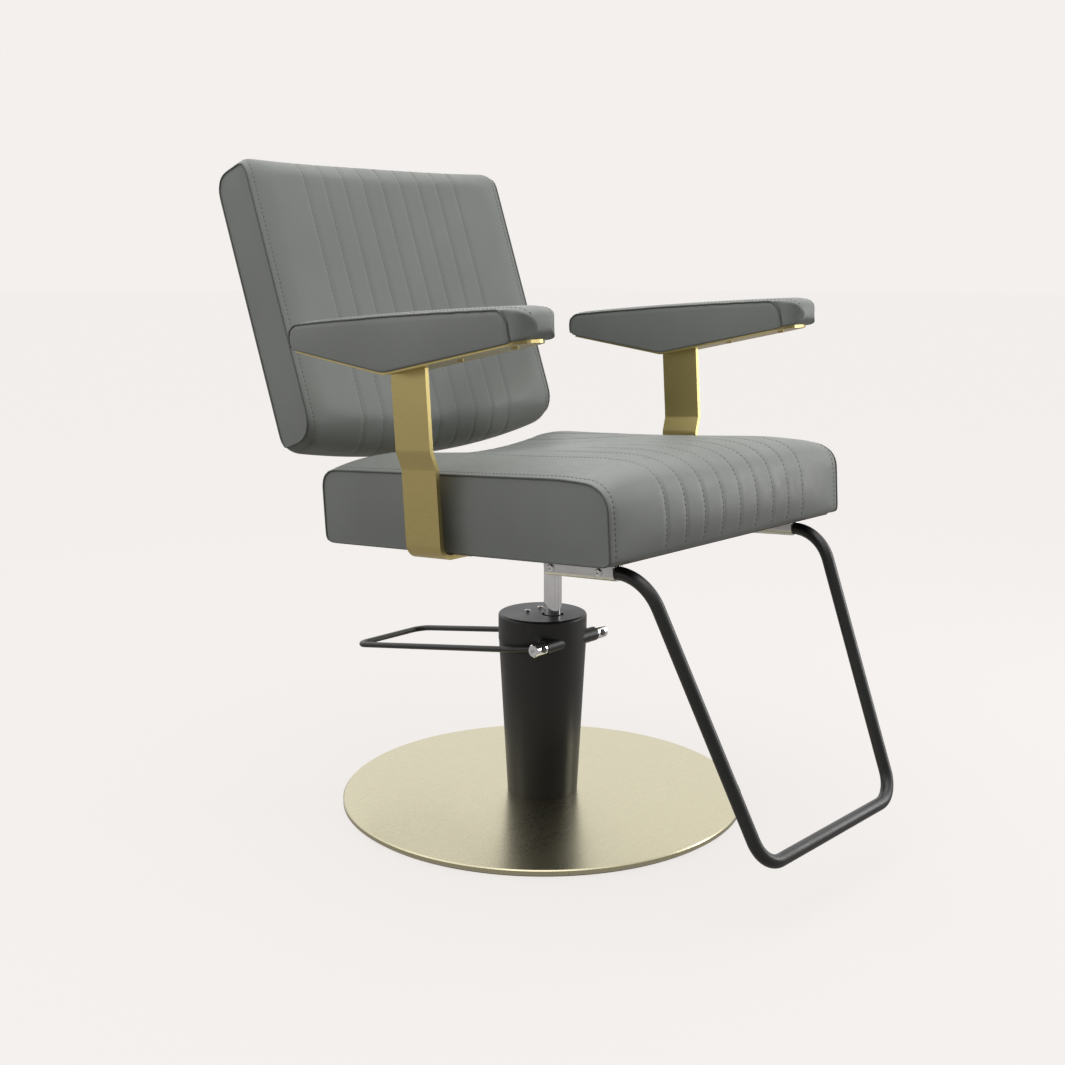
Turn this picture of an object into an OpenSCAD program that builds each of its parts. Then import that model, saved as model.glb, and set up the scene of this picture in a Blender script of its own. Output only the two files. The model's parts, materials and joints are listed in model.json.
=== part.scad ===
// Styling chair: round disc base, foot-pumped hydraulic column, swivelling
// upholstered seat with a fixed back, two armrests and a tube footrest.
// Origin: centre of the base on the floor. +Z up, the chair faces -Y.

/* [Base] */
// Radius of the round base disc
disc_r = 300; // [260:5:340]
// Thickness of the base disc
disc_t = 8; // [6:1:12]
// Thickness of the rubber pad under the disc
pad_t = 2.5; // [2:0.5:4]

/* [Pump column] */
// Height of the column cap's top above the floor
column_h = 285; // [250:5:345]
// Outer radius of the cap
cap_r = 65.5; // [60:0.5:80]
// Height of the cap's skirt
cap_skirt_h = 39; // [32:1:48]
// Outer radius of the column shell at its foot
shell_foot_r = 52.5; // [50:0.5:60]
// Wall of the shell and the cap
shell_wall = 3; // [2:0.5:4]
// Distance of the piston axis behind (+) or ahead (-) of the base centre
piston_y = -20; // [-24:1:-16]
// Radius of the piston rod
rod_r = 13.25; // [11:0.25:15]
// Lift travel of the chair
lift_travel = 150; // [100:5:170]
// Outer radius of the pressure cylinder
cylinder_r = 21; // [19:0.5:23]
// Wall of the pressure cylinder
cylinder_wall = 3; // [2:0.5:4]

/* [Foot lever] */
// Height of the lever axle above the floor
axle_z = 250; // [215:1:310]
// Place of the lever axle ahead of the base centre
axle_y = -52; // [-56:1:-48]
// Radius of the lever axle
axle_r = 6.5; // [5:0.5:8]
// Outer radius of the axle bosses
boss_r = 10.5; // [9.5:0.5:12]
// Half length over the two axle bosses
boss_x = 56; // [50:1:66]
// Half length over the two lever clamps
clamp_x = 79; // [76:1:90]
// Outer radius of the lever clamps
clamp_r = 9.5; // [8.5:0.5:11]
// Diameter of the lever bar
lever_d = 9; // [7:0.5:11]
// Half distance between the lever's arms where they pass through the clamps
lever_x = 66; // [64:1:70]
// Half distance between the lever's arms beside and behind the column
lever_wide_x = 72; // [72:1:80]
// Reach of the lever from its axle
lever_reach = 395; // [300:5:440]
// Droop of the lever at rest, in degrees
lever_droop = 9; // [4:0.1:14]

/* [Seat] */
// Half width of the seat
seat_x = 266; // [240:1:300]
// Front of the seat, ahead of the swivel axis
seat_front = 322; // [300:1:360]
// Back of the seat, behind the swivel axis
seat_back = 200; // [180:1:220]
// Height of the seat's side panels
seat_h = 104; // [88:1:125]
// Extra height of the crowned seat top
seat_crown = 13; // [6:1:20]
// Height of the seat's underside above the floor, on the swivel axis
seat_z = 418; // [410:1:480]
// Backward tilt of the seat, in degrees
seat_tilt = 3.9; // [0:0.1:6]
// Thickness of the seat board
board_t = 15; // [12:1:18]

/* [Backrest] */
// Half width of the backrest
back_x = 263; // [230:1:290]
// Length of the backrest along its face
back_len = 425; // [360:5:480]
// Thickness of the backrest
back_t = 76; // [60:1:90]
// Depth of the bow in the backrest's lower edge
back_bow_low = 25; // [0:1:35]
// Height of the bow in the backrest's upper edge
back_bow_top = 5; // [0:1:15]
// Lean of the backrest from the seat's upright, in degrees
back_lean = 15.7; // [10:0.1:20]
// Place of the backrest's lower rear edge behind the swivel axis
back_y = 283.5; // [270:0.5:300]
// Height of the backrest's lower rear edge over the seat's underside
back_z = 122; // [110:1:150]

/* [Arms] */
// Width of the flat bar stock of the arms and back bracket
bar_w = 64; // [50:1:75]
// Thickness of the flat bar stock
bar_t = 6; // [4:0.5:8]
// Gap between the seat's side and the arm strap
strap_gap = 13; // [9:0.5:20]
// Place of the strap's middle ahead (-) of the swivel axis
strap_y = -27; // [-60:1:10]
// Outward step of the strap above the seat
strap_step = 8; // [4:0.5:14]
// Height of the armrest's lowest point over the seat's underside
arm_z = 239; // [220:1:270]
// Width of the arm pads
pad_w = 71; // [60:1:84]
// Thickness of the bent plate under the arm pad
arm_plate_t = 4; // [3:0.5:6]

/* [Footrest] */
// Diameter of the footrest tube
foot_d = 17; // [14:1:22]
// Half width of the footrest at the seat
foot_top_x = 202; // [180:1:220]
// Half width of the footrest at its step bar
foot_low_x = 158; // [130:1:175]
// Distance of the upper bend ahead of the swivel axis
foot_top_y = 323; // [323:1:345]
// Distance of the step bar ahead of the swivel axis
foot_low_y = 452; // [420:1:500]
// Drop of the step bar below the seat's underside
foot_drop = 370; // [300:1:380]
// Bend radius of the upper bends
foot_bend_top = 62; // [50:1:75]
// Bend radius of the lower bends
foot_bend_low = 40; // [30:1:55]

/* [Hidden] */
$fn = 64;

fit = 0.05;        // running clearance on a radius
gap = 0.3;         // gap between faces on pieces that move apart
eps = 0.01;        // overcut at a face that a cut shares
lap = 0.3;         // reach of each straight run into the bends at its ends
swell = 0.04;      // extra thickness of the bends, so that they take in the runs' ends
screw_play = 0.3;  // clearance of a screw hole on its radius

// Screws: [radius of the head, height of the head, radius of the shank]
m8_flat = [8.4, 4.8, 4];
m6 = [5.5, 4, 3];
m5 = [4.6, 3, 2.5];
m5_low = [4.8, 2.2, 2.5];
brass = "#b8a468";
black = "#232423";
steel = "#b9bcbe";
hide = "#7d807c";
foam = "#e6dfb8";
ply = "#c8a878";
bronze = "#a5723c";

disc_z0 = pad_t;
disc_z1 = disc_z0 + disc_t;
cap_z0 = column_h - cap_skirt_h;
cap_top_t = 5;
cap_hole_r = rod_r + 2.75;
shell_top_r = cap_r - 0.5;
shell_z0 = disc_z1;

flange_t = 10;
flange_z1 = disc_z1 + flange_t;
flange_r = shell_foot_r - shell_wall - 1;
foot_pcd_r = flange_r - m8_flat[0];

// Piston, bearing and cylinder, all on the swivel axis
bore_r = cylinder_r - cylinder_wall;
cylinder_z1 = cap_z0 + 24;
floor_gap = 6;
head_t = 16;
head_z0 = flange_z1 + floor_gap;
seal_z0 = head_z0 + 5;
seal_h = 5;
seal_depth = 3;
bearing_t = 6;
rod_z0 = head_z0 + head_t + bearing_t;
bush_len = cylinder_z1 - head_z0 - head_t - lift_travel - gap;
wiper_t = 6;
rod_z1 = seat_z - 6;
socket_r = 25;
socket_z0 = seat_z - 46;
rod_taper = 0.75;
taper_z0 = socket_z0 + 6;

// Lever and plunger
axle_end = lever_x - lever_d / 2 - gap;
axle_bush_len = 21;
axle_bush_r = axle_r + 2.5;
clamp_screw_r = 4;
joggle_y0 = clamp_r + 6;
joggle_len = 36;
joggle_r = 60;
lever_corner_r = 22;
rocker_len = 58;
rocker_x = 27;
rocker_w = 5;
rocker_h = 12;
rocker_tip_r = 6;
plunger_r = 5;
plunger_y = axle_y + rocker_len;
plunger_z1 = axle_z - rocker_tip_r - gap;
plunger_len = 110;
plunger_head_t = 4;
barrel_r = 9;
spring_len = 50;
barrel_z1 = plunger_z1 - plunger_head_t - spring_len;
spring_wire = 1.6;

// Seat and what bolts to it
board_inset = 10;
cover_t = 1;
hide_t = 2;
plate_t = 5;
seat_edge_r = 26;
seat_low_r = 14;
strap_x = seat_x + strap_gap;
strap_top_x = strap_x + strap_step;
under_z = -plate_t - bar_t;
bend_r = 16;
step_r = 12;
pad_x = strap_top_x + bar_t / 2;

// Backrest
back_board_t = 12;
back_inset = 14;
back_corner_r = 24;
back_edge_r = 22;
bracket_up = 215;
bracket_bend_r = 26;

// Footrest and the sockets that hold it, under the mounting plate's cross arm
foot_r = foot_d / 2;
socket_wall = 2;
tube_socket_r = foot_r + socket_wall;
tube_drop = 3;
tube_z = -plate_t - foot_r - tube_drop;
socket_y0 = -170;
socket_len = 112;
socket_stop = 20;

// Mounting plate: a wide middle, a cross arm ahead of it and a tongue behind
plate_x = 140;
plate_rear = 68;
cross_x = foot_top_x + tube_socket_r + 8;
cross_front = socket_y0 - socket_len - 8;
tongue_rear = 96;

// Straps start beside the mounting plate's middle
strap_x0 = plate_x + 10;
strap_z = -bar_t / 2;

module place(p, rot = [0, 0, 0]) { translate(p) rotate(rot) children(); }
module on_swivel() { place([0, piston_y, 0]) children(); }
module seated() { place([0, piston_y, seat_z], [-seat_tilt, 0, 0]) children(); }
module reclined() { seated() place([0, back_y, back_z], [-back_lean, 0, 0]) children(); }
module both_sides() { for (s = [-1, 1]) scale([s, 1, 1]) children(); }

// Solid round bar from z0 to z1 with small chamfers on its ends
module bar_round(r, z0, z1, c = 0.6) {
  rotate_extrude($fn = 96)
    polygon([[0, z0], [r - c, z0], [r, z0 + c], [r, z1 - c], [r - c, z1], [0, z1]]);
}

// Ring of rectangular section with chamfered outer corners
module ring(r_in, r_out, z0, z1, c = 0.5) {
  rotate_extrude($fn = 128)
    polygon([[r_in, z0], [r_out - c, z0], [r_out, z0 + c], [r_out, z1 - c], [r_out - c, z1], [r_in, z1]]);
}

// Domed socket-head screw that sits on the face z = 0, shank downwards
module screw(size, length) {
  head_r = size[0];
  head_h = size[1];
  difference() {
    union() {
      rotate_extrude($fn = 48)
        polygon([[0, 0], [head_r, 0], [head_r, 0.6 * head_h], [0.72 * head_r, head_h], [0, head_h]]);
      translate([0, 0, -length]) cylinder(r = size[2], h = length + eps, $fn = 32);
    }
    translate([0, 0, 0.4 * head_h]) cylinder(r = 0.5 * head_r, h = head_h, $fn = 6);
  }
}

// Hole for such a screw, from z0 to z1
module screw_hole(size, z0, z1) {
  translate([0, 0, z0]) cylinder(r = size[2] + screw_play, h = z1 - z0, $fn = 32);
}

// Countersunk body with its head face at z = 0, shank downwards, widened by play
module countersunk(size, length, play = 0) {
  head_r = size[0] + play;
  shank_r = size[2] + play;
  rim = 0.6;
  rotate_extrude($fn = 48)
    polygon([[0, 0], [head_r, 0], [head_r, -rim], [shank_r, shank_r - head_r - rim],
             [shank_r, -length], [0, -length]]);
}

// ---------------------------------------------------------------- base
foot_angles = [45, 135, 225, 315];

module at_foot_screws() {
  for (a = foot_angles) rotate(a) translate([foot_pcd_r, 0, disc_z0]) rotate([180, 0, 0]) children();
}

module floor_pad() {
  color(black) ring(0, disc_r - 4, 0, pad_t);
}

module base_disc() {
  color(brass) difference() {
    rotate_extrude($fn = 180)
      polygon([[0, disc_z0], [disc_r - 1, disc_z0], [disc_r, disc_z0 + 1],
               [disc_r, disc_z1 - 1.5], [disc_r - 1.5, disc_z1], [0, disc_z1]]);
    at_foot_screws() translate([0, 0, eps]) countersunk(m8_flat, disc_t + 1, 0.1);
  }
}

module base_screws() {
  color(steel) at_foot_screws() difference() {
    countersunk(m8_flat, disc_t + flange_t - 1);
    translate([0, 0, -2]) cylinder(r = m8_flat[2] - 0.4, h = 3, $fn = 6);
  }
}

module pump_flange() {
  color(black) difference() {
    ring(0, flange_r, disc_z1, flange_z1);
    at_foot_screws() screw_hole(m8_flat, -disc_t - flange_t - 1, 1);
  }
}

module pressure_cylinder() {
  color(steel) on_swivel() ring(bore_r, cylinder_r, flange_z1, cylinder_z1);
}

module guide_bush() {
  color(bronze) on_swivel() ring(rod_r + fit, bore_r, cylinder_z1 - bush_len, cylinder_z1 - wiper_t);
}

module wiper_ring() {
  color(black) on_swivel() ring(rod_r + fit, bore_r, cylinder_z1 - wiper_t, cylinder_z1);
}

// ---------------------------------------------------------------- column
module axle_line(r, x) {
  translate([-x, axle_y, axle_z]) rotate([0, 90, 0]) cylinder(r = r, h = 2 * x, $fn = 64);
}

// The half of each axle boss above the cap's seam, or the half below it
module boss_halves(upper) {
  reach = 4 * boss_r;
  z0 = upper ? cap_z0 : cap_z0 - reach;
  intersection() {
    difference() {
      axle_line(boss_r, boss_x);
      cylinder(r = shell_top_r - shell_wall - 0.5, h = column_h);
    }
    translate([-clamp_x, axle_y - reach / 2, z0]) cube([2 * clamp_x, reach, reach]);
  }
}

module column_shell() {
  color(black) difference() {
    union() {
      rotate_extrude($fn = 128)
        polygon([[shell_foot_r - shell_wall, shell_z0], [shell_foot_r, shell_z0],
                 [shell_top_r, cap_z0], [shell_top_r - shell_wall, cap_z0]]);
      boss_halves(false);
    }
    axle_line(axle_bush_r, boss_x + 1);
  }
}

module column_cap() {
  edge = 4;
  color(black) difference() {
    union() {
      rotate_extrude($fn = 128) difference() {
        union() {
          translate([0, cap_z0]) square([cap_r, cap_skirt_h - edge]);
          translate([0, cap_z0]) square([cap_r - edge, cap_skirt_h]);
          translate([cap_r - edge, column_h - edge]) circle(r = edge, $fn = 48);
        }
        translate([-1, cap_z0 - 1]) square([cap_r - shell_wall + 1, cap_skirt_h - cap_top_t + 1]);
        translate([-cap_r, cap_z0 - 1]) square([cap_r, cap_skirt_h + 2]);
      }
      boss_halves(true);
    }
    on_swivel() translate([0, 0, cap_z0]) cylinder(r = cap_hole_r, h = cap_skirt_h + 1);
    at_cap_screws() screw_hole(m5, -cap_top_t - 1, 1);
    axle_line(axle_bush_r, boss_x + 1);
  }
}

cap_screw_places = [[14, 17], [-14, 17]];

module at_cap_screws() {
  for (p = cap_screw_places) translate([p[0], p[1], column_h]) children();
}

module cap_screws() {
  color(steel) at_cap_screws() screw(m5, cap_top_t + 4);
}

module axle_bushes() {
  color(bronze) both_sides()
    translate([boss_x - axle_bush_len, axle_y, axle_z]) rotate([0, 90, 0]) difference() {
      cylinder(r = axle_bush_r, h = axle_bush_len);
      translate([0, 0, -1]) cylinder(r = axle_r + fit, h = axle_bush_len + 2);
    }
}

module at_plunger() { place([rocker_x, plunger_y, 0]) children(); }

module plunger_barrel() {
  barrel_floor = 8;
  color(steel) at_plunger() difference() {
    bar_round(barrel_r, flange_z1, barrel_z1);
    translate([0, 0, flange_z1 + barrel_floor]) cylinder(r = plunger_r + fit, h = barrel_z1);
  }
}

module release_valve() {
  body_h = 60;
  stem_h = 20;
  color(bronze) place([-rocker_x, plunger_y, flange_z1]) {
    bar_round(7, 0, body_h);
    translate([0, 0, body_h - eps]) cylinder(r = 3, h = stem_h);
  }
}

// ---------------------------------------------------------------- lift
module piston_head() {
  color(steel) on_swivel() difference() {
    ring(0, bore_r - fit, head_z0, head_z0 + head_t);
    ring(bore_r - seal_depth, bore_r + 1, seal_z0, seal_z0 + seal_h, 0);
  }
}

module piston_seal() {
  color(black) on_swivel() ring(bore_r - seal_depth, bore_r - fit, seal_z0, seal_z0 + seal_h, 0.3);
}

module thrust_bearing() {
  color(bronze) on_swivel() ring(0, rod_r - 1, head_z0 + head_t, rod_z0 - gap);
}

// ---------------------------------------------------------------- chair
module piston_rod() {
  top_r = rod_r - rod_taper;
  color(steel) on_swivel() rotate_extrude($fn = 96)
    polygon([[0, rod_z0], [rod_r - 1, rod_z0], [rod_r, rod_z0 + 1], [rod_r, taper_z0],
             [top_r, rod_z1], [0, rod_z1]]);
}

module seat_socket() {
  top_r = rod_r - rod_taper;
  color(black) difference() {
    on_swivel() rotate_extrude($fn = 96)
      polygon([[rod_r, socket_z0], [socket_r - 2, socket_z0], [socket_r, socket_z0 + 2],
               [socket_r, seat_z + 6], [top_r, seat_z + 6], [top_r, rod_z1], [rod_r, taper_z0]]);
    seated() translate([-2 * socket_r, -2 * socket_r, -plate_t]) cube(4 * socket_r);
  }
}

bracket_y0 = socket_r + 5;
bracket_screws_at = [for (x = [-16, 16], y = [bracket_y0 + 15, bracket_y0 + 50]) [x, y]];
plate_screws_at = [for (s = [-1, 1], y = [-150, -60, 40]) [s * (plate_x - 20), y]];
strap_screws_at = [for (s = [-1, 1], dx = [25, 65], dy = [-16, 16]) [s * (strap_x0 + dx), strap_y + dy]];
board_screws_at = concat(plate_screws_at, strap_screws_at);

// Screw holes along the seat's own upright, between two heights
module under_holes(places, z0, z1) {
  for (p = places) translate([p[0], p[1], 0]) screw_hole(m6, z0, z1);
}

// Turned upside down under the seat, on a face at height z
module from_below(places, z) {
  for (p = places) translate([p[0], p[1], z]) rotate([180, 0, 0]) children();
}

// Rectangle between x = -half_w and half_w, y0 and y1
module wide_rect(half_w, y0, y1) {
  translate([-half_w, y0]) square([2 * half_w, y1 - y0]);
}

module seat_plate() {
  color(black) seated() difference() {
    translate([0, 0, -plate_t]) linear_extrude(plate_t) union() {
      wide_rect(plate_x, socket_y0 - 20, plate_rear);
      wide_rect(cross_x, cross_front, socket_y0);
      wide_rect(bar_w / 2, 0, tongue_rear);
    }
    under_holes(concat(plate_screws_at, bracket_screws_at), -plate_t - 1, 1);
  }
}

module seat_plate_screws() {
  color(steel) seated() from_below(plate_screws_at, -plate_t) screw(m6, plate_t + board_t - 3);
}

// Rounded rectangle between two corners
module round_rect(x0, y0, x1, y1, r) {
  for (x = [x0 + r, x1 - r], y = [y0 + r, y1 - r]) translate([x, y]) circle(r = r, $fn = 32);
  translate([x0 + r, y0]) square([x1 - x0 - 2 * r, y1 - y0]);
  translate([x0, y0 + r]) square([x1 - x0, y1 - y0 - 2 * r]);
}

module seat_board_outline() {
  x = seat_x - board_inset;
  round_rect(-x, board_inset - seat_front, x, seat_back - board_inset, 20);
}

module seat_board() {
  color(ply) seated() difference() {
    translate([0, 0, cover_t]) linear_extrude(board_t) seat_board_outline();
    under_holes(board_screws_at, 0, cover_t + board_t + 1);
  }
}

module dust_cover() {
  color(black) seated() difference() {
    linear_extrude(cover_t) seat_board_outline();
    under_holes(board_screws_at, -1, cover_t + 1);
  }
}

// Arc through the middle of a crowned edge, from x = -half to half
function crown(half, h, base, n = 16) =
  [for (i = [0:n]) let (t = 2 * i / n - 1) [t * half, base + h * (1 - t * t)]];

// Side outline of the seat block, shrunk by inset on every side but the bottom
module seat_side_outline(inset) {
  r_top = seat_edge_r - inset;
  r_low = seat_low_r - inset;
  y0 = -seat_front + inset;
  y1 = seat_back - inset;
  top = seat_h + seat_crown - inset;
  polygon(concat(
    arc([y0 + r_low, r_low], r_low, 180, 270), arc([y1 - r_low, r_low], r_low, 270, 360),
    arc([y1 - r_top, top - r_top], r_top, 0, 90), arc([y0 + r_top, top - r_top], r_top, 90, 180)));
}

module seat_block(inset) {
  x = seat_x - inset;
  intersection() {
    translate([-x, 0, 0]) rotate([90, 0, 90]) linear_extrude(2 * x) seat_side_outline(inset);
    translate([0, seat_back + 1, 0]) rotate([90, 0, 0]) linear_extrude(seat_front + seat_back + 20)
      polygon(concat([[-x, 0]], crown(x, seat_crown, seat_h - inset), [[x, 0]]));
  }
}

module seat_recess() {
  translate([0, 0, -1]) linear_extrude(cover_t + board_t + 1) seat_board_outline();
  under_holes(board_screws_at, board_t, board_t + 8);
}

module seat_cover() {
  color(hide) seated() difference() {
    seat_block(0);
    seat_block(hide_t);
    seat_recess();
  }
}

module seat_foam() {
  color(foam) seated() difference() {
    seat_block(hide_t);
    seat_recess();
  }
}

// ---------------------------------------------------------------- flat bar pieces
// Outline of a bar of thickness t that runs from a to b
module run(a, b, t) {
  d = b - a;
  translate(a) rotate(atan2(d[1], d[0])) translate([-lap, -t / 2]) square([norm(d) + 2 * lap, t]);
}

// Outline of a bent stretch: centre c, mean radius r, over an angle from a start angle
module bend(c, r, t, start, angle) {
  translate(c) rotate(start) intersection() {
    difference() {
      circle(r = r + t / 2, $fn = 96);
      circle(r = r - t / 2, $fn = 96);
    }
    polygon(concat([[0, 0]], [for (i = [0:6]) 3 * (r + t) * [cos(angle * i / 6), sin(angle * i / 6)]]));
  }
}

function unit(v) = v / norm(v);
function half_angle(a, p, b) = acos(unit(a - p) * unit(b - p)) / 2;

// Length that a bend of radius r takes off the lines on both sides of point i
function cut(points, radii, i) = (i == 0 || i == len(points) - 1) ? 0
  : radii[i] / tan(half_angle(points[i - 1], points[i], points[i + 1]));

// Flat stock of thickness t bent along a chain of points, each with its own mean radius
module bent_bar(points, radii, t) {
  n = len(points);
  for (i = [0:n - 2]) {
    d = unit(points[i + 1] - points[i]);
    run(points[i] + d * cut(points, radii, i), points[i + 1] - d * cut(points, radii, i + 1), t);
  }
  for (i = [1:n - 2]) {
    a = unit(points[i - 1] - points[i]);
    b = unit(points[i + 1] - points[i]);
    half = acos(a * b) / 2;
    to_c = unit(a + b) * radii[i] / sin(half);
    p0 = a * cut(points, radii, i) - to_c;
    p1 = b * cut(points, radii, i) - to_c;
    first = p0[0] * p1[1] - p0[1] * p1[0] > 0 ? p0 : p1;
    bend(points[i] + to_c, radii[i], t + swell, atan2(first[1], first[0]), 180 - 2 * half);
  }
}

// Side outline of the arm pad's underside, back to front: [y, z over its lowest point]
arm_rear = [173, 36];
arm_vee = [-10, 0];
arm_front = [-236, 30.6];
arm_nose = [-248, 32];

// Slope of the underside at y, and its height over the lowest point
function arm_slope(y) =
  let (leg = y > arm_vee[0] ? arm_rear - arm_vee : arm_front - arm_vee) atan(leg[1] / leg[0]);
function arm_under_z(y) = (y - arm_vee[0]) * tan(arm_slope(y));

// All that lies above the underside of the bent plate
module above_arm_plate() {
  drop = [0, arm_z - arm_plate_t - 2 * fit];
  translate([strap_x - bar_t, 0, 0]) rotate([90, 0, 90]) linear_extrude(strap_step + 4 * bar_t)
    polygon([arm_rear + drop, arm_vee + drop, arm_front + drop,
             [arm_front[0], 2 * arm_z], [arm_rear[0], 2 * arm_z]]);
}

module arm_strap() {
  step_z0 = seat_h + seat_crown - 4;
  step_z1 = step_z0 + 22;
  x0 = strap_x + bar_t / 2;
  x1 = strap_top_x + bar_t / 2;
  top = arm_z + arm_under_z(strap_y - bar_w / 2);
  seated() difference() {
    translate([0, strap_y + bar_w / 2, 0]) rotate([90, 0, 0]) linear_extrude(bar_w) {
      bent_bar([[strap_x0, strap_z], [x0, strap_z], [x0, step_z0], [x1, step_z1], [x1, top]],
               [0, bend_r, step_r, step_r, 0], bar_t);
    }
    above_arm_plate();
    under_holes(strap_screws_at, -bar_t - 1, 1);
  }
}

module arm_strap_left() { color(brass) scale([-1, 1, 1]) arm_strap(); }
module arm_strap_right() { color(brass) arm_strap(); }

module strap_screws() {
  color(steel) seated() from_below(strap_screws_at, -bar_t) screw(m6, bar_t + board_t - 4);
}

arm_top = 71;
arm_pad_y0 = -263;
corner_play = 0.1;
arm_plate_w = 60;
arm_plate_bend_r = 20;
arm_screw_y = [110, 60, -120, -212];

// Plan of an armrest piece whose two front corners are round
module arm_plan(w, front, corner_r) {
  half = w / 2 + corner_play;
  translate([pad_x, 0, arm_z / 2]) linear_extrude(arm_z)
    polygon(concat([[half, arm_rear[0] + bar_t], [-half, arm_rear[0] + bar_t]],
                   arc([corner_r - half, front + corner_r], corner_r, 180, 270),
                   arc([half - corner_r, front + corner_r], corner_r, 270, 360)));
}

module arm_plate() {
  lift = [0, arm_z - arm_plate_t / 2];
  end = arm_rear - 12 * unit(arm_rear - arm_vee);
  tip = arm_nose - 2 * unit(arm_nose - arm_front);
  seated() difference() {
    intersection() {
      translate([pad_x - arm_plate_w / 2, 0, 0]) rotate([90, 0, 90]) linear_extrude(arm_plate_w)
        bent_bar([end + lift, arm_vee + lift, arm_front + lift, tip + lift],
                 [0, arm_plate_bend_r, arm_plate_bend_r, 0], arm_plate_t);
      arm_plan(arm_plate_w, arm_nose[0] + 3, 22);
    }
    at_arm_screws() screw_hole(m5_low, -2 * arm_plate_t, arm_plate_t);
  }
}

// On the plate's lower face, pointing down from it
module at_arm_screws() {
  for (y = arm_screw_y)
    translate([pad_x, y, arm_z + arm_under_z(y) - arm_plate_t / 2 * (1 + 1 / cos(arm_slope(y)))])
      rotate([180 + arm_slope(y), 0, 0]) children();
}

module arm_plate_left() { color(brass) scale([-1, 1, 1]) arm_plate(); }
module arm_plate_right() { color(brass) arm_plate(); }
module arm_screws() {
  color(brass) both_sides() seated() at_arm_screws() screw(m5_low, 14);
}

// Side outline of the pad: crowned top, round ends, underside along the bent plate
module arm_pad_outline() {
  rear_r = 14;
  nose_r = 20;
  nose_low_r = 7;
  top = arm_top - 4;
  half = (arm_rear[0] - rear_r - arm_pad_y0 - nose_r) / 2;
  middle = arm_pad_y0 + nose_r + half;
  blunt = 6;
  up = [0, gap];
  polygon(concat(
    [arm_rear + up], arc([arm_rear[0] - rear_r, top - rear_r], rear_r, 0, 90),
    [for (p = crown(half, 6, top)) [middle - p[0], p[1]]],
    arc([arm_pad_y0 + nose_r, top - nose_r], nose_r, 90, 180),
    arc([arm_pad_y0 + nose_low_r, arm_nose[1] + gap + nose_low_r], nose_low_r, 180, 270),
    [arm_nose + up, arm_front + up, [arm_vee[0] - blunt, arm_under_z(arm_vee[0] - blunt)] + up,
     [arm_vee[0] + blunt, arm_under_z(arm_vee[0] + blunt)] + up]));
}

module arm_pad() {
  seated() difference() {
    intersection() {
      translate([pad_x - pad_w / 2, 0, arm_z]) rotate([90, 0, 90]) linear_extrude(pad_w) arm_pad_outline();
      arm_plan(pad_w, arm_pad_y0 - corner_play, 26);
    }
    at_arm_screws() screw_hole(m5_low, -20, 0);
  }
}

module arm_pad_left() { color(hide) scale([-1, 1, 1]) arm_pad(); }
module arm_pad_right() { color(hide) arm_pad(); }

// ---------------------------------------------------------------- backrest
// The bracket's run along the back, seen from the side, in the seat's frame
lean_dir = [sin(back_lean), cos(back_lean)];
back_foot = [back_y, back_z] + (bar_t / 2) * [cos(back_lean), -sin(back_lean)];
bracket_low_z = under_z + bar_t / 2;
bracket_corner = back_foot - lean_dir * ((back_foot[1] - bracket_low_z) / cos(back_lean));

back_screw_u = [90, 180];

// On the bracket's rear face, pointing backwards from it
module at_back_screws() {
  for (x = [-16, 16], u = back_screw_u)
    translate([x, bar_t, u]) rotate([-90, 0, 0]) children();
}

module back_bracket() {
  end = back_foot + lean_dir * bracket_up;
  color(brass) difference() {
    seated() translate([-bar_w / 2, 0, 0]) rotate([90, 0, 90]) linear_extrude(bar_w)
      bent_bar([[bracket_y0, bracket_low_z], bracket_corner, end], [0, bracket_bend_r, 0], bar_t);
    seated() under_holes(bracket_screws_at, under_z - 1, 0);
    reclined() at_back_screws() screw_hole(m6, -bar_t - 1, 1);
  }
}

module bracket_screws() {
  color(steel) seated() from_below(bracket_screws_at, under_z) screw(m6, bar_t + plate_t - 1);
}

module back_screws() {
  color(steel) reclined() at_back_screws() screw(m6, bar_t + back_board_t - 2);
}

function arc(c, r, from, to, n = 6) =
  [for (i = [0:n]) let (a = from + (to - from) * i / n) c + r * [cos(a), sin(a)]];

// Front outline of the backrest, shrunk by inset: bowed down below, slightly up above
module back_outline(inset) {
  r = back_corner_r - inset / 2;
  x = back_x - inset - r;
  y0 = inset + r;
  y1 = back_len - inset - r;
  polygon(concat(
    crown(x, -back_bow_low, inset),
    arc([x, y0], r, -90, 0), arc([x, y1], r, 0, 90),
    [for (p = crown(x, back_bow_top, back_len - inset)) [-p[0], p[1]]],
    arc([-x, y1], r, 90, 180), arc([-x, y0], r, 180, 270)));
}

module back_board() {
  color(black) reclined() difference() {
    rotate([90, 0, 0]) linear_extrude(back_board_t) back_outline(back_inset);
    back_holes();
  }
}

module back_holes() {
  at_back_screws() screw_hole(m6, -bar_t - back_board_t - 3, 1);
}

module back_block(inset) {
  x = back_x - inset;
  intersection() {
    translate([0, -inset, 0]) rotate([90, 0, 0]) linear_extrude(back_t - 2 * inset) back_outline(inset);
    translate([-x, 0, 0]) rotate([90, 0, 90]) linear_extrude(2 * x)
      round_rect(-back_t + inset, inset - back_bow_low, -inset, back_len + back_bow_top - inset,
                 back_edge_r - inset);
  }
}

module back_recess() {
  translate([0, 1, 0]) rotate([90, 0, 0]) linear_extrude(back_board_t + 1) back_outline(back_inset);
  back_holes();
}

module back_cover() {
  color(hide) reclined() difference() {
    back_block(0);
    back_block(hide_t);
    back_recess();
  }
}

module back_foam() {
  color(foam) reclined() difference() {
    back_block(hide_t);
    back_recess();
  }
}

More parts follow.
